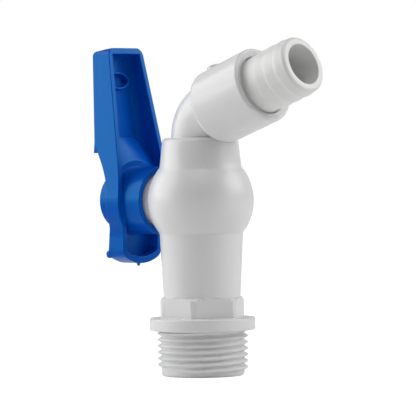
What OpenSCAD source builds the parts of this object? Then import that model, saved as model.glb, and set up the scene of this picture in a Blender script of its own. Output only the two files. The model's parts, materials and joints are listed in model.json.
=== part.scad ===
// Plastic quarter-turn bottle tap: a ball valve with a threaded inlet, a bent outlet and a hose tail.
// Origin: centre of the flange's sealing face. +Z runs up the body, +X is the outlet's side,
// and the lever turns about the X axis on the -X side. Lengths are in millimetres.

/* [Inlet spigot] */
// Radius over the crests of the G 3/4 pipe thread
thread_r = 13.22; // [12.8:0.02:14.4]
// Radius of the thread's root and of the plain lead below it
thread_root_r = 12.06; // [11.2:0.02:12.4]
// Length of the spigot below the flange
spigot_len = 13.3; // [10:0.1:20]
// Length of the plain lead at the spigot's end
lead_len = 2.4; // [1.5:0.1:4]
// Chamfer round the spigot's end
lead_chamfer = 0.5; // [0.2:0.1:1]
// Radius of the waterway through the spigot
inlet_bore_r = 8.6; // [7:0.1:10]

/* [Flange and hexagon] */
// Radius of the sealing flange
flange_r = 15.38; // [14.8:0.02:18]
// Thickness of the sealing flange
flange_t = 3.6; // [2.4:0.1:6]
// Rounding of the flange's edges
flange_round = 0.45; // [0.2:0.05:0.9]
// Size of the hexagon across its flats
hex_af = 22.6; // [22.4:0.1:25]
// Radius to which the hexagon's corners are trimmed
hex_corner_r = 12.55; // [12.2:0.05:14]
// Height of the hexagon
hex_h = 6; // [4:0.1:10]
// Height of the cone that trims the hexagon's top corners
hex_chamfer = 0.9; // [0.4:0.1:1.6]

/* [Barrel and ball chamber] */
// Barrel radius just above the hexagon
barrel_low_r = 11.2; // [10.8:0.05:11.2]
// Barrel radius where it meets the ball chamber
barrel_high_r = 12.15; // [11.4:0.05:13]
// Height of the ball's centre above the hexagon
barrel_len = 28.1; // [25:0.1:36]
// Radius of the ball
ball_r = 11.5; // [11.1:0.1:12.5]
// Radius of the waterway through the ball
ball_bore_r = 6; // [5:0.1:6.4]
// Running clearance between the ball and its chamber
ball_gap = 0.5; // [0.3:0.05:0.8]
// Wall of the ball chamber
chamber_wall = 3.4; // [2.8:0.1:4.2]
// Radius of the rounded corner where barrel and collar meet the chamber
chamber_fillet = 1.6; // [0.8:0.1:2.4]

/* [Seats] */
// Outer radius of a ball seat
seat_or = 9.2; // [8.8:0.05:9.6]
// Thickness of a ball seat at its inner edge
seat_t = 1.4; // [1:0.1:1.9]
// Gap between the ball and a seat
seat_gap = 0.1; // [0.05:0.01:0.15]
// Radius of the section of a seat's O-ring
seat_ring_r = 0.7; // [0.5:0.05:0.75]
// Thickness of the ledge between the outlet seat and the elbow's socket
ledge_t = 1.2; // [0.8:0.1:2]

/* [Outlet collar and elbow] */
// Height of the collar's top above the ball's centre
collar_len = 18.3; // [17:0.1:24]
// Radius of the collar where it leaves the ball chamber
collar_low_r = 11.95; // [11.4:0.05:12.4]
// Radius of the collar at its top
collar_high_r = 11.15; // [10.7:0.05:11.4]
// Rounding of the collar's top edge
collar_round = 1.5; // [0.5:0.1:2]
// Outer radius of the elbow's pipe
pipe_r = 8.45; // [7.9:0.05:8.6]
// Radius of the waterway through the elbow
pipe_bore_r = 5.7; // [5:0.1:5.8]
// Bend radius of the elbow's centre line
bend_r = 8.75; // [8.65:0.05:11]
// Angle through which the elbow turns
bend_angle = 70; // [60:1:80]

/* [Hose tail sleeve] */
// Outer radius of the sleeve at its mouth
sleeve_mouth_r = 11.2; // [10.8:0.05:12.4]
// Outer radius of the sleeve at its rear
sleeve_rear_r = 11; // [10.6:0.05:12.2]
// Rounding of the sleeve's rear shoulder
sleeve_round = 1.9; // [0.8:0.1:2.2]
// Rounding of the sleeve's mouth
mouth_round = 0.8; // [0.4:0.1:1]
// Length of the sleeve
sleeve_len = 18.6; // [16:0.1:24]
// Depth of the sleeve's socket
socket_depth = 13; // [9:0.1:14]
// Height of the gate pad on top of the sleeve
pad_h = 0.8; // [0.4:0.1:1.2]
// Radius of the gate pad
pad_r = 2.1; // [1.5:0.1:3]
// Distance of the gate pad's centre from the sleeve's rear
pad_back = 4.2; // [3.5:0.1:8]

/* [Hose tail] */
// Outer radius of the tail inside the sleeve and at its base ring
tail_base_r = 8.9; // [8.75:0.05:9.1]
// Radius over the hose barbs
barb_r = 8.7; // [8.6:0.05:9]
// Radius of the valleys between the barbs
valley_r = 8.4; // [8:0.05:8.5]
// Radius of the waterway through the tail
tail_bore_r = 6.1; // [5:0.1:6.5]
// Length of tail that stands out of the sleeve
tail_out = 17.45; // [15:0.05:26]
// Spacing of the barbs
barb_pitch = 4; // [3:0.1:4]
// Number of barbs
barb_count = 3; // [2:1:3]
// Distance of the first barb's crest from the tail's tip
barb_first = 4.2; // [3.4:0.1:5]
// Length of the flat land on a barb's crest
barb_land = 0.9; // [0.4:0.1:1.2]
// Rounding of the tail's tip
tip_round = 1.1; // [0.5:0.1:1.6]
// Width of the base ring that shows outside the sleeve
base_ring_w = 1.5; // [0.8:0.1:2]
// Chamfer on the base ring
base_chamfer = 0.3; // [0.1:0.05:0.5]
// Length of the steep side of a barb, which faces the sleeve
barb_back = 0.15; // [0.1:0.05:0.4]
// Length of the slope in front of the last barb
tip_slope = 1.6; // [1:0.1:2]

/* [Stem and neck] */
// Outer radius of the stem's neck on the body
neck_r = 7.8; // [7.4:0.05:7.9]
// Distance of the neck's end from the ball's centre
neck_reach = 21.2; // [20:0.1:24]
// Radius of the stem's journal
stem_r = 5; // [4.6:0.05:5.2]
// Running clearance round the stem
stem_gap = 0.05; // [0.03:0.01:0.09]
// Radius of the stem's retaining shoulder
shoulder_r = 6.2; // [5.9:0.05:6.3]
// Thickness of the stem's retaining shoulder
shoulder_t = 1.2; // [0.8:0.1:1.4]
// Thickness of the thrust washer on the shoulder
thrust_t = 0.45; // [0.3:0.05:0.6]
// Thickness of the stem's tang, which drives the ball
tang_t = 3.4; // [2.8:0.1:4]
// Width of the stem's tang
tang_w = 8; // [6.5:0.1:9]
// Clearance on each side of the tang in the ball's slot
tang_gap = 0.1; // [0.05:0.01:0.2]
// Depth of the slot in the ball, measured from the top of the ball
slot_depth = 3.9; // [3:0.1:4.2]
// Radius of the section of a stem O-ring
stem_ring_r = 0.66; // [0.55:0.01:0.75]
// Distance of the first stem O-ring from the pocket that holds the shoulder
stem_ring_start = 2.3; // [1.6:0.1:2.6]
// Distance between the two stem O-rings
stem_ring_pitch = 3; // [2.4:0.1:3.2]
// Side of the square on the stem's outer end
square_side = 7; // [6.2:0.05:7]
// Clearance of the square in the handle
square_gap = 0.1; // [0.05:0.01:0.2]
// Length of the square
square_len = 6.5; // [5.5:0.1:7.5]
// Depth of the screw's hole in the stem
pilot_depth = 9; // [6:0.1:10]

/* [Quarter-turn stops] */
// Height of the stop lugs
lug_h = 1.5; // [1:0.1:2]
// Inner radius of the stop lugs
lug_in_r = 5.6; // [5.4:0.05:6]
// Outer radius of the stop lugs
lug_out_r = 7.6; // [7.2:0.05:7.7]
// Angle that each stop lug fills
lug_angle = 44.5; // [40:0.1:44.8]
// Free gap between a lug's end and the face that it slides on
lug_gap = 0.2; // [0.1:0.05:0.4]

/* [Handle outline] */
// Height of the handle's top above the stem's axis
handle_up = 45.2; // [36:0.1:60]
// Depth of the handle's bottom below the stem's axis
handle_down = 18.6; // [16:0.1:24]
// Half width of the handle at its top
handle_top_w = 7.6; // [7:0.1:9.5]
// Half width of the handle at the stem's axis, which is also the radius of its round middle
handle_mid_w = 11.65; // [11.5:0.05:14]
// Half width of the handle's lower end
handle_low_w = 8.3; // [7.5:0.05:10]
// Radius of the two top corners
top_corner_r = 2.7; // [1.9:0.1:4]
// Radius of the two bottom corners
low_corner_r = 2.8; // [1.9:0.1:4]
// Radius of the curved bottom edge
low_edge_r = 14.2; // [11:0.1:30]
// Radius of the hollow corner between the round middle and the lower end
waist_r = 8; // [3:0.1:10]
// Wall of the handle's rim
handle_wall = 1.7; // [1.4:0.1:1.9]
// Wall of the handle's curved bottom edge
low_edge_wall = 2; // [1.4:0.1:2.6]
// Thickness of the handle's floor
handle_floor = 1.9; // [1.4:0.1:2.4]

/* [Handle side view] */
// Distance of the rim from the ball's centre, at the stem's axis
rim_mid_s = 22.1; // [21:0.1:23]
// Distance of the rim at the handle's top
rim_top_s = 29.2; // [27:0.1:31]
// Distance of the rim at the handle's bottom
rim_low_s = 23.3; // [22:0.1:24]
// Height above the stem's axis at which the rim becomes straight
rim_ease = 12; // [6:0.5:18]
// Depth below the stem's axis at which the rim has its kink
rim_kink = 10; // [8:0.5:13]
// Distance of the outer face round the boss
face_mid_s = 27.3; // [26.6:0.1:28.4]
// Distance of the outer face at the handle's top
face_top_s = 35.6; // [33:0.1:39]
// Distance of the outer face at the edge of its round dish
face_dish_s = 33; // [32:0.1:33.6]
// Depth below the stem's axis down to which the outer face is level
face_flat = 4.5; // [2:0.5:7]
// Distance of the outer face at the depth of the rim's kink
face_kink_s = 29; // [28:0.1:29.6]
// Distance of the outer face at the handle's bottom
face_low_s = 29.8; // [29.7:0.1:31]
// Radius of the round dish in the outer face
dish_r = 17.5; // [16:0.1:20]
// Wall round the dish's edge
dish_wall = 1.5; // [0.8:0.1:2]
// Step at the edge of the mound that the dish makes inside
mound_step = 0.8; // [0.4:0.1:1.2]
// Step at the dish's edge
dish_step = 1.6; // [0.8:0.1:2.2]
// Lean of the top wall, from the rim down to the outer face
top_lean = 1.2; // [0.4:0.1:2]
// Rounding of the outer edge at the handle's top
top_round = 1.3; // [0.5:0.1:2]
// Radius of the hollow corners between the blade's floor and its sides
floor_fillet_r = 2.4; // [1:0.1:3]
// Radius of the bead along the lower outer edge
bead_r = 1.15; // [0.8:0.05:1.5]
// Height of the bead above the handle's bottom
bead_up = 2.8; // [1.6:0.1:4]
// Depth of the bead's centre in the outer face
bead_in = 0.1; // [0.1:0.1:0.8]
// Height of the gate nub under the handle's lower end
nub_h = 0.8; // [0.2:0.1:1.5]
// Radius of the gate nub where it leaves the handle
nub_r = 0.9; // [0.5:0.1:1.2]
// Distance of the gate nub from the ball's centre
nub_s = 25; // [24.6:0.1:27]

/* [Handle hub] */
// Outer radius of the hub's skirt
skirt_r = 10; // [9.6:0.1:10.3]
// Clearance between the neck and the skirt
skirt_gap = 0.6; // [0.3:0.05:0.8]
// Distance of the skirt's end from the ball's centre
skirt_s = 15.3; // [14.6:0.1:17]
// Radius of the boss on the outer face
boss_r = 8.2; // [7.4:0.1:9]
// Distance of the boss's end from the ball's centre
boss_s = 32.8; // [32:0.1:35]
// Thickness of the web that the screw clamps
web_t = 1.2; // [0.9:0.1:1.6]
// Radius of the recess for the screw and its cap
recess_r = 5.8; // [5.2:0.1:6.4]

/* [Handle post] */
// Half width of the oval hollow post inside the handle
post_half_w = 4; // [3:0.1:4.5]
// Half height of the post
post_half_h = 2.95; // [2.4:0.05:3.4]
// Wall of the post
post_wall = 0.7; // [0.5:0.05:1]
// Height of the post above the stem's axis
post_up = 35.2; // [28:0.1:37]
// Distance of the post's open end from the ball's centre
post_s = 30.6; // [29:0.1:31]
// Depth of the post's blind hole
post_depth = 3.2; // [1:0.1:3.4]

/* [Handle screw and cap] */
// Radius of the screw's shank
screw_r = 1.6; // [1.3:0.05:1.8]
// Radius of the screw's head
screw_head_r = 3.4; // [2.9:0.05:3.8]
// Height of the screw's head
screw_head_h = 1.6; // [1.2:0.1:1.8]
// Length of the screw's shank
screw_len = 9; // [6:0.1:9.6]
// Outer radius of the washer under the screw's head
washer_r = 4.3; // [3.9:0.05:4.8]
// Thickness of the washer
washer_t = 0.6; // [0.4:0.05:0.8]
// Clearance round the screw in each hole
screw_gap = 0.05; // [0.02:0.01:0.1]
// Thickness of the cap's disc
cap_t = 0.8; // [0.6:0.1:1]
// Height of the cap's crown above the boss
cap_crown = 0.6; // [0.2:0.1:1.2]
// Wall of the cap's ring
cap_wall = 0.8; // [0.6:0.1:1]
// Length of the cap's ring
cap_ring_len = 1.2; // [0.8:0.1:1.6]

/* [Hidden] */

$fn = 96;
pvc_white = [0.9, 0.9, 0.9];
tail_white = [0.93, 0.93, 0.92];
handle_blue = [0.02, 0.3, 0.72];
seat_white = [0.96, 0.96, 0.94];
rubber_black = [0.08, 0.08, 0.08];
stem_white = [0.86, 0.86, 0.84];
steel = [0.7, 0.7, 0.72];

fit = 0.05;
running = 0.2;
ring_squeeze = 0.02;
pipe_step = 0.04;
bend_lap = 2;
overlap = 0.01;
past = 1;
arc_steps = 8;
oval_steps = 48;
rim_steps = 24;

hex_top = flange_t + hex_h;
ball_z = hex_top + barrel_len;
cavity_r = ball_r + ball_gap;
chamber_r = cavity_r + chamber_wall;
collar_top = ball_z + collar_len;

port_r = ball_bore_r + running;
seat_face_r = ball_r + seat_gap;
seat_back = sqrt(pow(seat_face_r, 2) - pow(port_r, 2)) + seat_t;
seat_ring_mid = (port_r + seat_or) / 2;
seat_groove_d = 2 * seat_ring_r + fit;
inlet_cone_h = 2.5;
inlet_ledge_h = 4;
inlet_bore_top = ball_z - seat_back - inlet_ledge_h;
elbow_foot = ball_z + seat_back + ledge_t;

bend_tangent = bend_r * tan(bend_angle / 2);
bend_cross = collar_top + bend_tangent;
sleeve_start = bend_tangent;
sleeve_mouth = sleeve_start + sleeve_len;
socket_floor = sleeve_mouth - socket_depth;
tail_tip = sleeve_mouth + tail_out;

slot_floor = ball_r - slot_depth;
shoulder_in = ball_r + running;
shoulder_out = shoulder_in + shoulder_t;
pocket_end = shoulder_out + thrust_t + fit;
journal_end = neck_reach + lug_gap;
square_end = journal_end + square_len;
ring_seat_r = stem_r - 2 * stem_ring_r + ring_squeeze;
ring_inner_s = pocket_end + stem_ring_start;
ring_outer_s = ring_inner_s + stem_ring_pitch;

hub_face = neck_reach + lug_h + lug_gap;
web_in = square_end + fit;
web_out = web_in + web_t;
head_in = web_out + washer_t;
cap_in = boss_s - cap_t;

handle_end = face_top_s + past;
dish_flat_r = handle_mid_w + 0.3;
floor_slope = (face_top_s - face_dish_s) / (handle_up - handle_wall - top_lean - dish_r);
post_root_s = face_dish_s - handle_floor / 2 + floor_slope * (post_up - dish_r);

// Points of an arc about a centre, from one angle to another
function arc(cx, cy, r, from, to) =
    [for (i = [0:arc_steps]) let (a = from + (to - from) * i / arc_steps) [cx + r * cos(a), cy + r * sin(a)]];

function unit(v) = v / norm(v);

// Points of the arc that rounds the corner at b on the way from a to c
function rounded(a, b, c, r) =
    let (u = unit(a - b), v = unit(c - b), half = acos(u * v) / 2,
         mid = b + unit(u + v) * r / sin(half),
         from = b + u * r / tan(half) - mid,
         to = b + v * r / tan(half) - mid,
         start = atan2(from[1], from[0]),
         turn = (atan2(to[1], to[0]) - start + 540) % 360 - 180)
    arc(mid[0], mid[1], r, start, start + turn);

// Places children that are drawn up +Z on the stem's axis, with their +Z pointing out to the handle
module on_stem() {
    mirror([1, 0, 0]) translate([0, 0, ball_z]) rotate([0, 90, 0]) children();
}

// Places children that are drawn up +Z on the outlet's slanted axis
module on_outlet() {
    translate([0, 0, bend_cross]) rotate([0, bend_angle, 0]) children();
}

// A flat ring
module ring(r_in, r_out, h) {
    difference() {
        cylinder(h = h, r = r_out);
        translate([0, 0, -past]) cylinder(h = h + 2 * past, r = r_in);
    }
}

// A rubber ring of round section
module o_ring(mid_r, section_r) {
    rotate_extrude() translate([mid_r, 0]) circle(r = section_r, $fn = 32);
}

// A pair of stop lugs, centred on an angle from straight up towards the closing side
module stop_lugs(centre_angle) {
    for (side = [0, 180])
        rotate([0, 0, 180 + side + centre_angle - lug_angle / 2])
            rotate_extrude(angle = lug_angle)
                translate([lug_in_r, 0]) square([lug_out_r - lug_in_r, lug_h]);
}

// Half section of the spigot, the flange and the barrel
module lower_body_section() {
    lead_top = lead_len - spigot_len;
    barrel_end = ball_z - sqrt(pow(chamber_r, 2) - pow(barrel_high_r, 2));
    polygon(concat(
        [[0, -spigot_len], [thread_root_r - lead_chamfer, -spigot_len],
         [thread_root_r, lead_chamfer - spigot_len], [thread_root_r, lead_top],
         [thread_r, lead_top + (thread_r - thread_root_r) / 2], [thread_r, 0]],
        arc(flange_r - flange_round, flange_round, flange_round, -90, 0),
        arc(flange_r - flange_round, flange_t - flange_round, flange_round, 0, 90),
        [[barrel_low_r, flange_t], [barrel_low_r, hex_top], [barrel_high_r, barrel_end],
         [barrel_high_r, ball_z], [0, ball_z]]));
}

// Half section of the outlet collar
module collar_section() {
    polygon(concat(
        [[0, ball_z], [collar_low_r, ball_z],
         [collar_low_r, ball_z + sqrt(pow(chamber_r, 2) - pow(collar_low_r, 2))]],
        arc(collar_high_r - collar_round, collar_top - collar_round, collar_round, 0, 90),
        [[0, collar_top]]));
}

// A ring above the ball that fills the corner between the chamber's sphere and a tapered shaft, whose
// radius is foot_r on the sphere and end_r at the height end_z
module chamber_fillet_ring(foot_r, end_r, end_z) {
    foot = [foot_r, sqrt(pow(chamber_r, 2) - pow(foot_r, 2))];
    along = unit([end_r, end_z] - foot);
    out = [along[1], -along[0]];
    beside = foot + chamber_fillet * out;
    share = beside * along;
    reach = chamber_r + chamber_fillet;
    mid = beside + along * (sqrt(share * share - beside * beside + reach * reach) - share);
    shaft_touch = mid - chamber_fillet * out;
    ball_touch = mid * chamber_r / reach;
    rotate_extrude() difference() {
        polygon([ball_touch - past * unit(mid), ball_touch, mid, shaft_touch, shaft_touch - past * out]);
        translate(mid) circle(r = chamber_fillet);
    }
}

// The hexagon above the flange, with trimmed corners
module hexagon() {
    land = 0.25;
    slope = (hex_corner_r - hex_af / 2 - land) / hex_chamfer;
    intersection() {
        cylinder(h = hex_top, r = hex_af / 2 / cos(30), $fn = 6);
        cylinder(h = hex_top, r = hex_corner_r);
        union() {
            cylinder(h = hex_top - hex_chamfer + overlap, r = hex_corner_r + past);
            translate([0, 0, hex_top - hex_chamfer])
                cylinder(h = hex_chamfer, r1 = hex_corner_r, r2 = hex_corner_r - slope * hex_chamfer);
        }
    }
}

module valve_body() {
    color(pvc_white) difference() {
        union() {
            rotate_extrude() lower_body_section();
            hexagon();
            translate([0, 0, ball_z]) sphere(r = chamber_r);
            rotate_extrude() collar_section();
            translate([0, 0, ball_z]) mirror([0, 0, 1])
                chamber_fillet_ring(barrel_high_r, barrel_low_r, barrel_len);
            translate([0, 0, ball_z]) chamber_fillet_ring(collar_low_r, collar_high_r, collar_len - collar_round);
            on_stem() cylinder(h = neck_reach, r = neck_r);
            on_stem() translate([0, 0, neck_reach - overlap]) stop_lugs(135);
        }
        // Waterway from the spigot to the chamber
        translate([0, 0, -spigot_len - past])
            cylinder(h = inlet_bore_top + spigot_len + past, r = inlet_bore_r);
        translate([0, 0, inlet_bore_top - overlap])
            cylinder(h = inlet_cone_h, r1 = inlet_bore_r, r2 = port_r);
        translate([0, 0, inlet_bore_top]) cylinder(h = elbow_foot - inlet_bore_top + past, r = port_r);
        // Ball chamber with the two seat pockets
        translate([0, 0, ball_z]) sphere(r = cavity_r);
        translate([0, 0, ball_z - seat_back]) cylinder(h = 2 * seat_back, r = seat_or + fit);
        // Socket for the elbow
        translate([0, 0, elbow_foot])
            cylinder(h = collar_top - elbow_foot + past, r = pipe_r + pipe_step + fit);
        // Bore for the stem and pocket for its shoulder
        on_stem() cylinder(h = neck_reach + lug_h + past, r = stem_r + stem_gap);
        on_stem() cylinder(h = pocket_end, r = shoulder_r + running);
    }
}

// Outside of the elbow's sleeve, drawn up +Z from the crossing of the two axes
module sleeve_solid() {
    rotate_extrude() polygon(concat(
        [[0, sleeve_start]],
        arc(sleeve_rear_r - sleeve_round, sleeve_start + sleeve_round, sleeve_round, -90, 0),
        arc(sleeve_mouth_r - mouth_round, sleeve_mouth - mouth_round, mouth_round, 0, 90),
        [[0, sleeve_mouth]]));
}

// The collar's outside with a small clearance, which the sleeve's foot is cut to
module collar_envelope() {
    rotate_extrude() polygon(concat(
        [[0, ball_z], [collar_low_r + fit, ball_z]],
        arc(collar_high_r - collar_round, collar_top - collar_round, collar_round + fit, 0, 90),
        [[0, collar_top + fit]]));
}

module outlet_elbow() {
    color(pvc_white) difference() {
        union() {
            difference() {
                on_outlet() union() {
                    sleeve_solid();
                    translate([past - sleeve_rear_r, 0, sleeve_start + pad_back])
                        rotate([0, -90, 0]) cylinder(h = past + pad_h, r = pad_r);
                }
                collar_envelope();
            }
            translate([0, 0, elbow_foot]) cylinder(h = collar_top - elbow_foot, r = pipe_r + pipe_step);
            elbow_bend(pipe_r);
        }
        translate([0, 0, elbow_foot - past]) cylinder(h = collar_top - elbow_foot + past, r = pipe_bore_r);
        elbow_bend(pipe_bore_r - pipe_step);
        on_outlet() translate([0, 0, bend_tangent])
            cylinder(h = socket_floor - bend_tangent + past, r = pipe_bore_r);
        on_outlet() translate([0, 0, socket_floor])
            cylinder(h = socket_depth + past, r = tail_base_r + fit);
    }
}

// The bent stretch of the elbow; its ends run a little into the straight stretches, which are
// wider by a small step
module elbow_bend(r) {
    translate([bend_r, 0, collar_top]) rotate([90, 0, 180]) rotate([0, 0, -bend_lap])
        rotate_extrude(angle = bend_angle + 2 * bend_lap) translate([bend_r, 0]) circle(r = r);
}

// Half section of the hose tail with its barbs
module tail_section() {
    ring_end = sleeve_mouth + base_ring_w;
    valley_len = 0.25;
    slope_len = barb_pitch - barb_land - barb_back - valley_len;
    polygon(concat(
        [[tail_bore_r, socket_floor], [tail_base_r, socket_floor],
         [tail_base_r, ring_end - base_chamfer], [tail_base_r - base_chamfer, ring_end], [valley_r, ring_end]],
        [for (i = [barb_count - 1:-1:0])
            let (crest = tail_tip - barb_first - i * barb_pitch, land_end = crest + barb_land / 2)
            for (p = [[valley_r, crest - barb_land / 2 - barb_back], [barb_r, crest - barb_land / 2],
                      [barb_r, land_end], [valley_r, land_end + (i > 0 ? slope_len : tip_slope)]]) p],
        arc(valley_r - tip_round, tail_tip - tip_round, tip_round, 0, 90),
        [[tail_bore_r, tail_tip]]));
}

module hose_tail() {
    color(tail_white) on_outlet() rotate_extrude() tail_section();
}

module ball() {
    color(seat_white) difference() {
        translate([0, 0, ball_z]) sphere(r = ball_r);
        translate([0, 0, ball_z - ball_r - past]) cylinder(h = 2 * (ball_r + past), r = ball_bore_r);
        on_stem() translate([-tang_t / 2 - tang_gap, -ball_r - past, slot_floor])
            cube([tang_t + 2 * tang_gap, 2 * (ball_r + past), ball_r]);
    }
}

// A ball seat above the ball, with its O-ring's groove in the back
module seat() {
    difference() {
        cylinder(h = seat_back, r = seat_or);
        translate([0, 0, -past]) cylinder(h = seat_back + 2 * past, r = port_r);
        sphere(r = seat_face_r);
        translate([0, 0, seat_back - seat_groove_d])
            ring(seat_ring_mid - seat_ring_r - fit, seat_ring_mid + seat_ring_r + fit, seat_groove_d + past);
    }
}

// A seat's O-ring, in the groove of the seat above the ball
module seat_ring() {
    translate([0, 0, seat_back - seat_groove_d / 2]) o_ring(seat_ring_mid, seat_ring_r);
}

module outlet_seat() {
    color(seat_white) translate([0, 0, ball_z]) seat();
}

module inlet_seat() {
    color(seat_white) translate([0, 0, ball_z]) mirror([0, 0, 1]) seat();
}

module outlet_seat_ring() {
    color(rubber_black) translate([0, 0, ball_z]) seat_ring();
}

module inlet_seat_ring() {
    color(rubber_black) translate([0, 0, ball_z]) mirror([0, 0, 1]) seat_ring();
}

// The groove for one stem O-ring
module stem_groove(s) {
    half_w = stem_ring_r + fit;
    translate([0, 0, s - half_w]) ring(ring_seat_r - ring_squeeze, stem_r + past, 2 * half_w);
}

module stem() {
    tang_in = slot_floor + running;
    color(stem_white) on_stem() difference() {
        union() {
            translate([-tang_t / 2, -tang_w / 2, tang_in]) cube([tang_t, tang_w, shoulder_in - tang_in + overlap]);
            translate([0, 0, shoulder_in]) cylinder(h = shoulder_t, r = shoulder_r);
            translate([0, 0, shoulder_in]) cylinder(h = journal_end - shoulder_in, r = stem_r);
            intersection() {
                translate([-square_side / 2, -square_side / 2, shoulder_in])
                    cube([square_side, square_side, square_end - shoulder_in]);
                cylinder(h = square_end, r = stem_r);
            }
        }
        stem_groove(ring_inner_s);
        stem_groove(ring_outer_s);
        translate([0, 0, square_end - pilot_depth]) cylinder(h = pilot_depth + past, r = screw_r + screw_gap);
    }
}

module thrust_washer() {
    color(seat_white) on_stem() translate([0, 0, shoulder_out])
        ring(stem_r + fit, shoulder_r, thrust_t);
}

module stem_ring_inner() {
    color(rubber_black) on_stem() translate([0, 0, ring_inner_s])
        o_ring(ring_seat_r + stem_ring_r, stem_ring_r);
}

module stem_ring_outer() {
    color(rubber_black) on_stem() translate([0, 0, ring_outer_s])
        o_ring(ring_seat_r + stem_ring_r, stem_ring_r);
}

// Front outline of the handle with its edges moved in by inset; x is the height above the stem's axis
module handle_outline(inset) {
    top = handle_up - inset;
    top_w = handle_top_w - inset;
    mid_w = handle_mid_w - inset;
    low_w = handle_low_w - inset;
    corner = top_corner_r - inset;
    low_corner = low_corner_r - inset;
    edge_r = low_edge_r - inset * low_edge_wall / handle_wall;
    edge_x = low_edge_r - handle_down;
    tangent_a = asin((low_w - low_corner) / (edge_r - low_corner));
    corner_x = edge_x - (edge_r - low_corner) * cos(tangent_a);
    blade_side = concat([[0, mid_w]], arc(top - corner, top_w - corner, corner, 90, 0));
    polygon(concat(blade_side, mirrored(blade_side)));
    circle(r = mid_w);
    low_side = concat([[0, low_w]], arc(corner_x, low_w - low_corner, low_corner, 90, 180 - tangent_a),
                      arc(edge_x, 0, edge_r, 180 - tangent_a, 180));
    polygon(concat(low_side, mirrored(low_side)));
    for (side = [0, 1]) mirror([0, side]) waist_fillet(mid_w, low_w, waist_r + inset);
}

// Points of the mirror image of a side outline, in the order that closes it
function mirrored(side) = [for (i = [len(side) - 1:-1:0]) [side[i][0], -side[i][1]]];

// Fills the corner between the handle's round middle and its straight lower end
module waist_fillet(mid_w, low_w, r) {
    mid_y = low_w + r;
    mid_x = -sqrt(pow(mid_w + r, 2) - pow(mid_y, 2));
    share = mid_w / (mid_w + r);
    difference() {
        polygon([[0, 0], [mid_x * share, mid_y * share], [mid_x, mid_y], [mid_x, 0]]);
        translate([mid_x, mid_y]) circle(r = r);
    }
}

// Distance of the rim from the ball's centre at a height above the stem's axis
function rim_s(up) =
    let (slope = (rim_top_s - rim_mid_s) / (handle_up - rim_ease / 2))
    up > rim_ease ? rim_mid_s + slope * (up - rim_ease / 2)
    : up > 0 ? rim_mid_s + slope * up * up / rim_ease / 2
    : up > -rim_kink ? rim_mid_s + (rim_low_s - rim_mid_s) * pow(up / rim_kink, 2)
    : rim_low_s;

// Side outline of the handle; x is the height above the stem's axis and y the distance from
// the ball's centre. The floor's inner face lies floor_t inside the outer face.
module handle_side(floor_t, top_t, open) {
    top = handle_up - top_t;
    low = -handle_down - past;
    dish_edge = [dish_r, face_dish_s - floor_t];
    polygon(concat(
        [for (i = [0:rim_steps]) let (up = low + (top - low) * i / rim_steps) [up, rim_s(up) - open]],
        rounded([top, rim_s(top)], [top - top_lean, face_top_s - floor_t], dish_edge, top_round),
        [dish_edge,
         [0, face_dish_s - floor_t],
         [0, face_mid_s - floor_t],
         [-face_flat, face_mid_s - floor_t],
         [-rim_kink, face_kink_s - floor_t],
         [low, face_low_s - floor_t]]));
}

// The handle's block or the hollow inside it, from its front and side outlines
module handle_block(inset, floor_t, open) {
    intersection() {
        linear_extrude(height = handle_end) handle_outline(inset);
        rotate([90, 0, 0]) linear_extrude(height = 3 * handle_mid_w, center = true)
            handle_side(floor_t, inset, open);
    }
}

// The upper half of a round dish that opens outwards
module upper_dish(flat_r, flat_s, edge_r, edge_s) {
    intersection() {
        union() {
            translate([0, 0, flat_s]) cylinder(h = edge_s - flat_s, r1 = flat_r, r2 = edge_r);
            translate([0, 0, edge_s - overlap]) cylinder(h = face_top_s - edge_s, r = edge_r);
        }
        translate([0, -2 * dish_r, 0]) cube([2 * dish_r, 4 * dish_r, handle_end]);
    }
}

// Fills the corner between the blade's floor and its side on +Y with a hollow rounding
module floor_fillet() {
    side_len = handle_up - top_corner_r;
    side_rise = (handle_mid_w - handle_top_w) / side_len;
    from_side = unit([-side_rise, -1, 0]);
    from_floor = unit([floor_slope, 0, -1]);
    along = unit(cross(from_side, from_floor));
    across = cross(from_floor, along);
    foot = [dish_r, handle_mid_w - handle_wall - side_rise * dish_r, face_dish_s - handle_floor];
    side = [from_side * across, from_side * from_floor];
    level = [0, 1];
    mid = (side + level) * floor_fillet_r / (1 + side * level);
    below = 3 * past;
    multmatrix([for (i = [0:2]) [across[i], from_floor[i], along[i], foot[i]]])
        translate([0, 0, -below]) linear_extrude(height = below + side_len - dish_r + past) difference() {
            polygon([mid - floor_fillet_r * level, mid - (floor_fillet_r + past / 2) * level,
                     -past / 2 * (side + level), mid - (floor_fillet_r + past / 2) * side,
                     mid - floor_fillet_r * side, mid]);
            translate(mid) circle(r = floor_fillet_r);
        }
}

// The oval post, whose open end leans like the rim, or its hole
module post(inset, from_s, to_s) {
    lean = (rim_top_s - rim_mid_s) / (handle_up - rim_ease / 2);
    half_w = post_half_w - inset;
    half_h = post_half_h - inset;
    intersection() {
        translate([post_up, 0, 0]) linear_extrude(height = handle_end)
            polygon([for (i = [0:oval_steps - 1]) let (a = 360 * i / oval_steps) [half_h * cos(a), half_w * sin(a)]]);
        rotate([90, 0, 0]) linear_extrude(height = 3 * post_half_w, center = true)
            polygon([for (side = [-1, 1]) [post_up + side * handle_up, from_s + side * handle_up * lean],
                     for (side = [1, -1]) [post_up + side * handle_up, to_s + side * handle_up * lean]]);
    }
}

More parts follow.
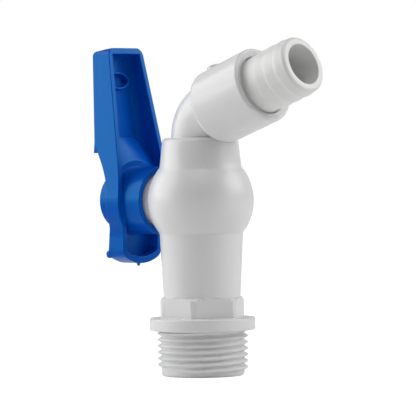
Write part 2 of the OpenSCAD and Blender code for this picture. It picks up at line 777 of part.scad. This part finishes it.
module handle() {
    rim_open = 8;
    color(handle_blue) on_stem() mirror([1, 0, 0]) difference() {
        union() {
            difference() {
                union() {
                    handle_block(0, 0, 0);
                    translate([bead_up - handle_down, 0, face_low_s - bead_in])
                        rotate([90, 0, 0]) cylinder(h = 2 * handle_low_w - 1, r = bead_r, center = true);
                    translate([-handle_down - nub_h, 0, nub_s])
                        rotate([0, 90, 0]) cylinder(h = nub_h + handle_wall / 2, r1 = nub_r / 3, r2 = nub_r);
                }
                upper_dish(dish_flat_r, face_mid_s, dish_r, face_dish_s - dish_step);
                difference() {
                    handle_block(handle_wall, handle_floor, rim_open);
                    upper_dish(dish_flat_r, face_mid_s - handle_floor,
                               dish_r + dish_wall, face_dish_s - handle_floor - mound_step);
                }
            }
            // Hub skirt, web and outer boss
            translate([0, 0, skirt_s]) cylinder(h = face_mid_s - skirt_s, r = skirt_r);
            translate([0, 0, hub_face]) cylinder(h = boss_s - hub_face, r = boss_r);
            post(0, post_s, post_root_s);
            floor_fillet();
            mirror([0, 1, 0]) floor_fillet();
        }
        difference() {
            translate([0, 0, skirt_s - past])
                cylinder(h = hub_face - skirt_s + past, r = neck_r + skirt_gap);
            translate([0, 0, hub_face - lug_h]) stop_lugs(0);
        }
        translate([-square_side / 2 - square_gap, -square_side / 2 - square_gap, hub_face - lug_h])
            cube([square_side + 2 * square_gap, square_side + 2 * square_gap, web_in - hub_face + lug_h]);
        translate([0, 0, web_in - past]) cylinder(h = web_t + 2 * past, r = screw_r + screw_gap);
        translate([0, 0, web_out]) cylinder(h = boss_s - web_out + past, r = recess_r);
        post(post_wall, post_s - past, post_s + post_depth);
    }
}

module handle_screw() {
    color(steel) on_stem() {
        translate([0, 0, head_in - screw_len]) cylinder(h = screw_len + overlap, r = screw_r);
        translate([0, 0, head_in]) cylinder(h = screw_head_h, r = screw_head_r);
    }
}

module screw_washer() {
    color(steel) on_stem() translate([0, 0, web_out]) ring(screw_r + screw_gap, washer_r, washer_t);
}

// The cap's crown is a slice of a sphere
module screw_cap() {
    cap_r = recess_r - fit;
    crown_r = (pow(cap_r, 2) + pow(cap_crown, 2)) / (2 * cap_crown);
    color(handle_blue) on_stem() {
        translate([0, 0, cap_in]) cylinder(h = cap_t, r = cap_r);
        translate([0, 0, cap_in - cap_ring_len]) ring(cap_r - cap_wall, cap_r, cap_ring_len + overlap);
        intersection() {
            translate([0, 0, boss_s + cap_crown - crown_r]) sphere(r = crown_r);
            translate([0, 0, boss_s - overlap]) cylinder(h = cap_crown + past, r = cap_r);
        }
    }
}

valve_body();
outlet_elbow();
hose_tail();
ball();
inlet_seat();
outlet_seat();
inlet_seat_ring();
outlet_seat_ring();
stem();
thrust_washer();
stem_ring_inner();
stem_ring_outer();
handle();
handle_screw();
screw_washer();
screw_cap();
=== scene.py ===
import json
import math
from itertools import combinations

import bmesh
import bpy
from mathutils import Matrix, Vector
from mathutils.bvhtree import BVHTree


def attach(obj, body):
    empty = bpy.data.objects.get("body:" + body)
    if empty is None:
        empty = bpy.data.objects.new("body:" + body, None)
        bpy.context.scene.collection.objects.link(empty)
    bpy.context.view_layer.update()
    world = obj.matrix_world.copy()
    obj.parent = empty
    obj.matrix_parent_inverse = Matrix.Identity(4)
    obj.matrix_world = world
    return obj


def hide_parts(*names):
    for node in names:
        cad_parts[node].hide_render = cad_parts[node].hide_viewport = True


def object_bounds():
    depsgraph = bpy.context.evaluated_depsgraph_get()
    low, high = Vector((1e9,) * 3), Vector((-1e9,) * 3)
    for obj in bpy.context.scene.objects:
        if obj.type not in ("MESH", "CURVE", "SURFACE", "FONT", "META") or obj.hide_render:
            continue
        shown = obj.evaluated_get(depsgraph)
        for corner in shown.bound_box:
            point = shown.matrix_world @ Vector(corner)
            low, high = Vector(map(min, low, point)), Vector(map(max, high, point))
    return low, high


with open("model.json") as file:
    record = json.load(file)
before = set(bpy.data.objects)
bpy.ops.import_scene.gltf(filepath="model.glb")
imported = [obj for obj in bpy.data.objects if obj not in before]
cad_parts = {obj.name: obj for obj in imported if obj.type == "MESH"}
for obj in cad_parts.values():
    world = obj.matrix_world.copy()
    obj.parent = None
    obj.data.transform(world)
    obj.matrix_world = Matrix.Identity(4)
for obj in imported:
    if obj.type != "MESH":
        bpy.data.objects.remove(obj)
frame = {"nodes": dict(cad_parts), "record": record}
cad_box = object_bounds()
scene = bpy.context.scene
scene.view_settings.view_transform = "Standard"

# View
# A long lens stands one metre off, a little above the tap's middle, and is rolled by less than a degree.
# The photo is square, so the lens follows from its width and from the focal length in pixels.
PHOTO_WIDTH = 416
FOCAL_PIXELS = 3431.2
SENSOR_WIDTH = 36
CAMERA_AZIMUTH = math.radians(41.4)
CAMERA_ELEVATION = math.radians(1.2)
CAMERA_ROLL = math.radians(0.755)
CAMERA_DISTANCE = 1.0
TARGET_RIGHT = 0.002038
TARGET_HEIGHT = 0.035483

to_camera = Vector((math.sin(CAMERA_AZIMUTH) * math.cos(CAMERA_ELEVATION),
                    -math.cos(CAMERA_AZIMUTH) * math.cos(CAMERA_ELEVATION),
                    math.sin(CAMERA_ELEVATION)))
camera_right = Vector((math.cos(CAMERA_AZIMUTH), math.sin(CAMERA_AZIMUTH), 0))
camera_up = to_camera.cross(camera_right)
target = camera_right * TARGET_RIGHT + Vector((0, 0, TARGET_HEIGHT))
rolled_right = camera_right * math.cos(CAMERA_ROLL) - camera_up * math.sin(CAMERA_ROLL)
rolled_up = camera_right * math.sin(CAMERA_ROLL) + camera_up * math.cos(CAMERA_ROLL)

camera_data = bpy.data.cameras.new("camera")
camera_data.sensor_width = SENSOR_WIDTH
camera_data.lens = SENSOR_WIDTH * FOCAL_PIXELS / PHOTO_WIDTH
camera = bpy.data.objects.new("camera", camera_data)
camera_axes = Matrix((rolled_right, rolled_up, to_camera)).transposed()
camera.matrix_world = Matrix.Translation(target + to_camera * CAMERA_DISTANCE) @ camera_axes.to_4x4()
scene.collection.objects.link(camera)
scene.camera = camera

# Studio
# A pale floor under the spigot, big softboxes on both sides, smaller ones high in front and overhead, and
# a lit backdrop. Nothing stands by the camera, so the side that faces it is a little darker, as on the photo.
FLOOR_HALF = 30.0
PAPER = 0.9
GLOW = 1.15
GLOW_SHARE = 0.88
FILL = 0.01
WHITE = (1, 1, 1, 1)
LAMP_DISTANCE = 1.0
# Degrees to the right of the camera, degrees above level, width and height in metres, and power in watts.
LAMPS = {"left_box": (-98, 25, 1.1, 0.85, 7.8),
         "left_low": (-90, 2, 0.9, 0.4, 0.8),
         "right_box": (90, 33, 0.9, 0.72, 5.9),
         "right_low": (75, 2, 0.5, 0.3, 0.4),
         "front_high": (0, 50, 0.6, 0.5, 0.8),
         "overhead": (0, 80, 0.9, 0.9, 2.5),
         "backdrop": (180, 12, 2.4, 1.2, 4.0)}


class Wire:
    """One output of a node; sums and products of wires add Math nodes to the same tree."""

    def __init__(self, graph, socket):
        self.graph = graph
        self.socket = socket

    def math(self, operation, *others):
        return self.graph.math(operation, self, *others)

    def __add__(self, other):
        return self.math("ADD", other)

    def __sub__(self, other):
        return self.math("SUBTRACT", other)

    def __mul__(self, other):
        return self.math("MULTIPLY", other)

    def __rsub__(self, other):
        return self.graph.math("SUBTRACT", other, self)

    __radd__ = __add__
    __rmul__ = __mul__


class Graph:
    """A node tree that is filled by short calls, for materials, the world and Geometry Nodes alike."""

    def __init__(self, tree):
        self.tree = tree
        self.tree.nodes.clear()

    def node(self, kind, settings=None, inputs=None, output=0):
        """Adds a node and gives one of its outputs.

        The settings are made first. The inputs, wires or values, go by a socket's name, or by its number
        where the node has several sockets of one name.
        """
        made = self.tree.nodes.new(kind)
        for key, value in (settings or {}).items():
            setattr(made, key, value)
        for key, value in (inputs or {}).items():
            if isinstance(value, Wire):
                self.tree.links.new(value.socket, made.inputs[key])
            else:
                made.inputs[key].default_value = value
        return Wire(self, made.outputs[output]) if made.outputs else None

    def math(self, operation, *terms):
        return self.node("ShaderNodeMath", {"operation": operation}, dict(enumerate(terms)))


class Paint(Graph):
    """The node tree of one material, ended by its surface."""

    def __init__(self, name):
        self.material = bpy.data.materials.new(name)
        self.material.use_nodes = True
        super().__init__(self.material.node_tree)

    def finish(self, surface):
        self.node("ShaderNodeOutputMaterial", inputs={"Surface": surface})
        return self.material


def floor_paint():
    """Pale paper that the camera sees nearly white, with the tap's shadow left in it."""
    paint = Paint("floor_paper")
    paper = paint.node("ShaderNodeBsdfDiffuse", inputs={"Color": (PAPER, PAPER, PAPER, 1)})
    glow = paint.node("ShaderNodeEmission", inputs={"Color": WHITE, "Strength": GLOW})
    seen = paint.node("ShaderNodeLightPath", output="Is Camera Ray")
    return paint.finish(paint.node("ShaderNodeMixShader", inputs={0: seen * GLOW_SHARE, 1: paper, 2: glow}))


floor_corners = [(x * FLOOR_HALF, y * FLOOR_HALF, cad_box[0][2])
                 for x, y in ((-1, -1), (1, -1), (1, 1), (-1, 1))]
floor_mesh = bpy.data.meshes.new("floor")
floor_mesh.from_pydata(floor_corners, [], [(0, 1, 2, 3)])
floor = bpy.data.objects.new("floor", floor_mesh)
scene.collection.objects.link(floor)
floor_mesh.materials.append(floor_paint())

for name, (aside, above, wide, high, power) in LAMPS.items():
    lamp_data = bpy.data.lights.new(name, "AREA")
    lamp_data.shape = "RECTANGLE"
    lamp_data.size = wide
    lamp_data.size_y = high
    lamp_data.energy = power
    lamp = bpy.data.objects.new(name, lamp_data)
    turn = math.radians(aside)
    rise = math.radians(above)
    level = camera_right * math.sin(turn) + to_camera * math.cos(turn)
    place = target + (level * math.cos(rise) + Vector((0, 0, math.sin(rise)))) * LAMP_DISTANCE
    aim = (place - target).to_track_quat("Z", "Y")
    lamp.matrix_world = Matrix.Translation(place) @ aim.to_matrix().to_4x4()
    scene.collection.objects.link(lamp)
    lamp.visible_camera = False

world = bpy.data.worlds.new("studio")
scene.world = world
world.use_nodes = True
sky = Graph(world.node_tree)
fill = sky.node("ShaderNodeBackground", inputs={"Color": WHITE, "Strength": FILL})
backcloth = sky.node("ShaderNodeBackground", inputs={"Color": WHITE, "Strength": 1})
seen = sky.node("ShaderNodeLightPath", output="Is Camera Ray")
around = sky.node("ShaderNodeMixShader", inputs={0: seen, 1: fill, 2: backcloth})
sky.node("ShaderNodeOutputWorld", inputs={"Surface": around})

# Valve body
# One PVC moulding: threaded spigot, sealing flange, hexagon, barrel, ball chamber, collar and stem neck.
# It is the CAD solid with rounded edges; its spigot is turned down to the thread's root.
THREAD_CREST_R = 0.01322
THREAD_ROOT_R = 0.01206
BODY_BEVEL = 0.00022
BEVEL_STEPS = 3
FLAT_ANGLE = math.radians(0.2)
SHARP_ANGLE = math.radians(32)
WEDGE_ANGLE = math.radians(40)
# Points closer than SAME are one point, and SLACK is how far one may lie off a radius.
SAME = 1e-6
SLACK = 1e-4
# The plastic's clouds and grain are counted for a metre, and its relief is in metres.
CLOUDS = 60
CLOUD_DARKENS = 0.97
CLOUD_ROUGHENS = 0.08
GRAINS = 2600
GRAIN_RELIEF = 0.5
SEAM_HALF = 0.00007
SEAM_RELIEF = 2
RELIEF_STRENGTH = 0.12
RELIEF_DEPTH = 0.0001


def mark_sharp(shape, plain):
    """Marks the edges to be rounded, apart from plain ones and those that meet in a narrow wedge."""
    weight = shape.edges.layers.float.new("bevel_weight_edge")
    sharp = {edge for edge in shape.edges
             if len(edge.link_faces) == 2 and edge.calc_face_angle(0) > SHARP_ANGLE
             and not (plain and all(plain(vert.co) for vert in edge.verts))}
    for edge in sharp:
        edge[weight] = 1.0
    for vert in shape.verts:
        ends = [(edge, edge.other_vert(vert).co - vert.co) for edge in vert.link_edges if edge in sharp]
        for (one, along), (other, beside) in combinations(ends, 2):
            if along.angle(beside, 0) < WEDGE_ANGLE:
                one[weight] = 0.0
                other[weight] = 0.0


def moulded_copy(node, bevel, change=None, plain=None, merge=SAME):
    """A copy of a CAD node, merged, changed if asked, and rounded at its sharp edges but not at plain ones.

    Corners that the rounding throws further from the skin than its own width are set back onto the skin.
    """
    source = frame["nodes"][node]
    mesh = bpy.data.meshes.new(node + "_moulding")
    shape = bmesh.new()
    shape.from_mesh(source.data)
    bmesh.ops.remove_doubles(shape, verts=shape.verts, dist=merge)
    if change:
        change(shape)
    skin = BVHTree.FromBMesh(shape)
    bmesh.ops.dissolve_limit(shape, angle_limit=FLAT_ANGLE, verts=shape.verts, edges=shape.edges)
    bmesh.ops.triangulate(shape, faces=shape.faces)
    mark_sharp(shape, plain)
    shape.to_mesh(mesh)
    shape.free()
    mesh.shade_smooth()
    piece = bpy.data.objects.new(node + "_moulding", mesh)
    scene.collection.objects.link(piece)
    rounding = piece.modifiers.new("rounding", "BEVEL")
    rounding.width = bevel
    rounding.segments = BEVEL_STEPS
    rounding.limit_method = "WEIGHT"
    rounding.use_clamp_overlap = False
    normals = piece.modifiers.new("normals", "WEIGHTED_NORMAL")
    normals.weight = 100
    piece = baked(piece)
    for vert in piece.data.vertices:
        place, _, _, distance = skin.find_nearest(vert.co)
        if distance > bevel:
            vert.co = place
    return piece


def baked(piece):
    """The piece with its modifiers turned into plain mesh."""
    bpy.context.view_layer.update()
    finished = bpy.data.meshes.new_from_object(piece.evaluated_get(bpy.context.evaluated_depsgraph_get()))
    piece.modifiers.clear()
    piece.data = finished
    return piece


def turn_down_spigot(shape):
    """Moves the spigot's skin in to the thread's root."""
    for vert in shape.verts:
        radius = math.hypot(vert.co.x, vert.co.y)
        if vert.co.z < SAME and (THREAD_ROOT_R + THREAD_CREST_R) / 2 < radius < THREAD_CREST_R + SLACK:
            vert.co.x *= THREAD_ROOT_R / radius
            vert.co.y *= THREAD_ROOT_R / radius


def plastic(name, colour, rough, seam=0.0, shine=0.5, tint_of_shine=(1, 1, 1)):
    """Moulded plastic with a faint cloud in its colour, a fine grain and, if asked, a mould seam at Y = 0."""
    paint = Paint(name)
    place = paint.node("ShaderNodeTexCoord", output="Object")
    cloud = paint.node("ShaderNodeTexNoise", inputs={"Vector": place, "Scale": CLOUDS, "Detail": 3})
    grain = paint.node("ShaderNodeTexNoise", inputs={"Vector": place, "Scale": GRAINS, "Detail": 2})
    darker = [channel * CLOUD_DARKENS for channel in colour]
    tint = paint.node("ShaderNodeMix", {"data_type": "RGBA"},
                      {0: cloud, 6: (*darker, 1), 7: (*colour, 1)}, output=2)
    relief = grain * GRAIN_RELIEF
    if seam:
        across = paint.node("ShaderNodeSeparateXYZ", inputs={"Vector": place}, output="Y")
        line = (1 - across.math("ABSOLUTE") * (1 / seam)).math("MAXIMUM", 0.0)
        relief = relief + line * SEAM_RELIEF
    bump = paint.node("ShaderNodeBump", inputs={
        "Height": relief, "Strength": RELIEF_STRENGTH, "Distance": RELIEF_DEPTH})
    skin = paint.node("ShaderNodeBsdfPrincipled", inputs={
        "Base Color": tint, "Roughness": cloud * CLOUD_ROUGHENS + rough, "Normal": bump,
        "Specular IOR Level": shine, "Specular Tint": (*tint_of_shine, 1)})
    return paint.finish(skin)


def dress(piece, material):
    """Gives the whole piece one material."""
    piece.data.materials.clear()
    piece.data.materials.append(material)


pvc = plastic("pvc_white", colour=(0.82, 0.82, 0.82), rough=0.22, seam=SEAM_HALF)
body = moulded_copy("valve_body", BODY_BEVEL, turn_down_spigot)
dress(body, pvc)
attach(body, "body")
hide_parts("valve_body")

# Inlet thread
# The G 3/4 pipe thread round the spigot, moulded in one with the body: a ridge laid along a right-hand helix
# by Geometry Nodes. It swells out of the plain lead and runs into the underside of the flange.
THREAD_SUNK = 0.00004
THREAD = {"Pitch": 0.001814,
          "Crest radius": THREAD_CREST_R,
          "Root radius": THREAD_ROOT_R - THREAD_SUNK,
          "Height at turn 0": 0.00161,
          "First turn": -7.27,
          "Last turn": -0.82,
          "Turns to full height": 0.17}
THREAD_STEPS = 620
# The ridge's profile, with widths in pitches.
PROFILE_STEPS = 24
CREST_HALF = 0.06
FOOT_HALF = 0.46
STRAIGHT_SHARE = 0.8


def thread_pattern():
    """The Geometry Nodes tree that winds a flat grid into the ridge of a screw thread."""
    tree = bpy.data.node_groups.new("thread", "GeometryNodeTree")
    graph = Graph(tree)
    tree.interface.new_socket("Geometry", in_out="OUTPUT", socket_type="NodeSocketGeometry")
    for name in THREAD:
        tree.interface.new_socket(name, in_out="INPUT", socket_type="NodeSocketFloat")
    tree.interface.new_socket("Material", in_out="INPUT", socket_type="NodeSocketMaterial")
    given = tree.nodes.new("NodeGroupInput")
    value = {socket.name: Wire(graph, socket) for socket in given.outputs if socket.name}
    # The grid runs from -0.5 to 0.5 along the thread and across it.
    grid = graph.node("GeometryNodeMeshGrid", inputs={
        "Size X": 1.0, "Size Y": 1.0, "Vertices X": THREAD_STEPS + 1, "Vertices Y": PROFILE_STEPS + 1})
    place = graph.node("GeometryNodeInputPosition")
    length = graph.node("ShaderNodeSeparateXYZ", inputs={"Vector": place}, output="X") + 0.5
    width = graph.node("ShaderNodeSeparateXYZ", inputs={"Vector": place}, output="Y")
    turn = value["First turn"] + length * (value["Last turn"] - value["First turn"])
    flank = graph.node("ShaderNodeMapRange", {"interpolation_type": "LINEAR"}, {
        "Value": width.math("ABSOLUTE"), "From Min": CREST_HALF, "From Max": FOOT_HALF,
        "To Min": 1.0, "To Max": 0.0})
    soft = graph.node("ShaderNodeMapRange", {"interpolation_type": "SMOOTHSTEP"}, {"Value": flank})
    swell = graph.node("ShaderNodeMapRange", {"interpolation_type": "SMOOTHSTEP"}, {
        "Value": turn - value["First turn"], "From Min": 0.0, "From Max": value["Turns to full height"]})
    shape = (flank * STRAIGHT_SHARE + soft * (1 - STRAIGHT_SHARE)) * swell
    radius = value["Root radius"] + shape * (value["Crest radius"] - value["Root radius"])
    angle = turn * math.tau
    height = value["Height at turn 0"] + value["Pitch"] * (turn + width)
    spot = graph.node("ShaderNodeCombineXYZ", inputs={
        "X": radius * angle.math("COSINE"), "Y": radius * angle.math("SINE"), "Z": height})
    laid = graph.node("GeometryNodeSetPosition", inputs={"Geometry": grid, "Position": spot})
    smooth = graph.node("GeometryNodeSetShadeSmooth", inputs={"Geometry": laid})
    real = graph.node("GeometryNodeRealizeInstances", inputs={"Geometry": smooth})
    coloured = graph.node("GeometryNodeSetMaterial", inputs={
        "Geometry": real, "Material": value["Material"]})
    graph.node("NodeGroupOutput", inputs={"Geometry": coloured})
    return tree


def grown(name, tree, values):
    """A piece made by a Geometry Nodes tree from named values."""
    piece = bpy.data.objects.new(name, bpy.data.meshes.new(name))
    scene.collection.objects.link(piece)
    growth = piece.modifiers.new("growth", "NODES")
    growth.node_group = tree
    sockets = {item.name: item.identifier for item in tree.interface.items_tree if item.in_out == "INPUT"}
    for key, value in values.items():
        growth[sockets[key]] = value
    return baked(piece)


thread = grown("inlet_thread", thread_pattern(), {**THREAD, "Material": pvc})
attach(thread, "body")

# Outlet elbow
# A PVC bend with the sleeve for the hose tail, cemented into the collar. The sleeve reaches a little further
# out than on the plain solid, and its end face sinks towards the tail.
CROSSING_HEIGHT = 0.062127
# The sleeve's mouth is measured along the outlet from the point where its axis crosses the body's. A point is
# on a plane across the outlet when it lies closer than ON_PLANE.
ON_PLANE = 1e-5
SLEEVE_MOUTH = 0.024727
SLEEVE_END = 0.0025
SOCKET_R = 0.00895
MOUTH_OUT = 0.00135
MOUTH_SINK = 0.0008
MOUTH_R = 0.0087

mounts = {mount["name"]: mount for mount in frame["record"]["mounts"]}
outlet_axis = Vector(mounts["hose_tail"]["axis"])
outlet_crossing = Vector((0, 0, CROSSING_HEIGHT))


def on_outlet(vert):
    """Distance of a vertex along the outlet's axis and its nearest point on that axis."""
    along = (vert.co - outlet_crossing).dot(outlet_axis)
    return along, outlet_crossing + outlet_axis * along


def draw_out_mouth(shape):
    """Moves the sleeve's end outwards, sinks the edge of its socket and draws it in towards the tail."""
    for vert in shape.verts:
        along, foot = on_outlet(vert)
        outward = vert.co - foot
        if along > SLEEVE_MOUTH - SLEEVE_END:
            vert.co += outlet_axis * MOUTH_OUT
        if abs(along - SLEEVE_MOUTH) < ON_PLANE and outward.length < SOCKET_R + SLACK:
            vert.co -= outward * (1 - MOUTH_R / outward.length) + outlet_axis * MOUTH_SINK


elbow = moulded_copy("outlet_elbow", BODY_BEVEL, draw_out_mouth)
dress(elbow, pvc)
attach(elbow, "body")
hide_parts("outlet_elbow")

# Hose tail
# A barbed PVC tail, pushed and cemented into the sleeve. Its base ring ends inside the sleeve, which leaves
# a dark gap round the tail, and the barbs stand a little nearer the tip than on the plain solid.
TAIL_BEVEL = 0.00015
VALLEY_R = 0.0084
# Places along the tail are measured from the plain solid's sleeve mouth, the gap from the mouth drawn out.
RING_END = 0.0015
GAP_DEPTH = 0.0018
BARB_ZONE = (0.0018, 0.0160)
BARB_SHIFT = 0.0006


def fit_barbs(shape):
    """Ends the tail's base ring inside the sleeve and moves the barbs towards the tip."""
    for vert in shape.verts:
        along, foot = on_outlet(vert)
        radius = (vert.co - foot).length
        out = along - SLEEVE_MOUTH
        if abs(out - RING_END) < ON_PLANE and radius > VALLEY_R - SLACK:
            vert.co += outlet_axis * (MOUTH_OUT - GAP_DEPTH - RING_END)
        elif BARB_ZONE[0] < out < BARB_ZONE[1] and radius > VALLEY_R - SLACK:
            vert.co += outlet_axis * BARB_SHIFT


tail_pvc = plastic("tail_white", colour=(0.84, 0.84, 0.83), rough=0.3)
tail = moulded_copy("hose_tail", TAIL_BEVEL, fit_barbs)
dress(tail, tail_pvc)
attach(tail, "body")
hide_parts("hose_tail")

# Lever handle
# A hollow blue lever, moulded in one piece and pressed onto the stem's square; its cap is the same plastic.
# Its oval post is wider and lower here than on the plain solid, and the hollow reaches nearer the tip.
HANDLE_BEVEL = 0.0002
HANDLE_MERGE = 0.00006
# S is the distance from the body's axis towards the lever, and heights are those of the open tap.
# The plain solid's post is found by its middle, its halves across and along, and its reach in S.
POST_HEIGHT = 0.0729
POST_HALF = (0.0041, 0.0031)
POST_S = (0.030, 0.0345)
POST_RIM_S = 0.0315
POST_STRETCH = (1.2, 0.89)
POST_LOWER = 0.0013
POST_RAISE = 0.0004
# The hollow's end is found by its heights, its half width and its depth in S. It moves up along walls that
# lean outwards and inwards by HOLLOW_LEAN for each unit of height.
HOLLOW_END = (0.0788, 0.0807)
HOLLOW_HALF = 0.0062
HOLLOW_S = 0.0337
HOLLOW_OUT = 0.00055
HOLLOW_LEAN = (0.18, 0.095)
# The round dish lies about the stem.
STEM_HEIGHT = 0.0377
DISH_R = 0.0175


def fit_handle(shape):
    """Draws the hollow's end along its sloping walls, widens and raises the post, and lowers its rim."""
    for vert in shape.verts:
        aside = vert.co.y
        above = vert.co.z - POST_HEIGHT
        if HOLLOW_END[0] < vert.co.z < HOLLOW_END[1] and abs(aside) < HOLLOW_HALF and -vert.co.x < HOLLOW_S:
            inward = -HOLLOW_LEAN[1] * math.copysign(1, aside)
            vert.co += Vector((-HOLLOW_LEAN[0], inward, 1)) * HOLLOW_OUT
        beside_post = abs(aside) > POST_HALF[0] or abs(above) > POST_HALF[1]
        if beside_post or not POST_S[0] < -vert.co.x < POST_S[1]:
            continue
        if -vert.co.x < POST_RIM_S:
            vert.co.x -= POST_LOWER
        vert.co.y = aside * POST_STRETCH[0]
        vert.co.z = POST_HEIGHT + above * POST_STRETCH[1] + POST_RAISE


def on_dish_edge(place):
    """True on the edge of the round dish, which stays sharp."""
    return abs(math.hypot(place.y, place.z - STEM_HEIGHT) - DISH_R) < SLACK


blue = plastic("handle_blue", colour=(0.0, 0.085, 0.5), rough=0.25,
               shine=0.38, tint_of_shine=(0.0, 0.8, 1.0))
handle = moulded_copy("handle", HANDLE_BEVEL, fit_handle, on_dish_edge, merge=HANDLE_MERGE)
dress(handle, blue)
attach(handle, "lever")
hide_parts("handle")
dress(frame["nodes"]["screw_cap"], blue)

# Ball, seats and stem
# A white ball turns between two self-lubricating seats, each on a rubber ring. The moulded stem, with two
# rubber rings and a washer, drives it. A zinc-plated screw and washer hold the lever on. All are CAD solids.
SPOTS = 1800
SPOT_ROUGHENS = 0.2
# Colour, roughness and nodes of each inside material.
INSIDE = {"ball_white": ((0.85, 0.85, 0.84), 0.18, ["ball"]),
          "seat_white": ((0.9, 0.9, 0.88), 0.5, ["inlet_seat", "outlet_seat", "thrust_washer"]),
          "stem_white": ((0.8, 0.8, 0.78), 0.4, ["stem"]),
          "rubber_black": ((0.03, 0.03, 0.03), 0.6,
                           ["inlet_seat_ring", "outlet_seat_ring", "stem_ring_inner", "stem_ring_outer"])}
for name, (colour, rough, nodes) in INSIDE.items():
    material = plastic(name, colour, rough)
    for node in nodes:
        dress(frame["nodes"][node], material)


def zinc_plate(name, colour, rough):
    """Plated steel: metal with fine spots in its roughness."""
    paint = Paint(name)
    place = paint.node("ShaderNodeTexCoord", output="Object")
    spot = paint.node("ShaderNodeTexNoise", inputs={"Vector": place, "Scale": SPOTS, "Detail": 2})
    skin = paint.node("ShaderNodeBsdfPrincipled", inputs={
        "Base Color": (*colour, 1), "Metallic": 1.0, "Roughness": spot * SPOT_ROUGHENS + rough})
    return paint.finish(skin)


steel = zinc_plate("steel", colour=(0.62, 0.62, 0.63), rough=0.25)
for node in ("handle_screw", "screw_washer"):
    dress(frame["nodes"][node], steel)
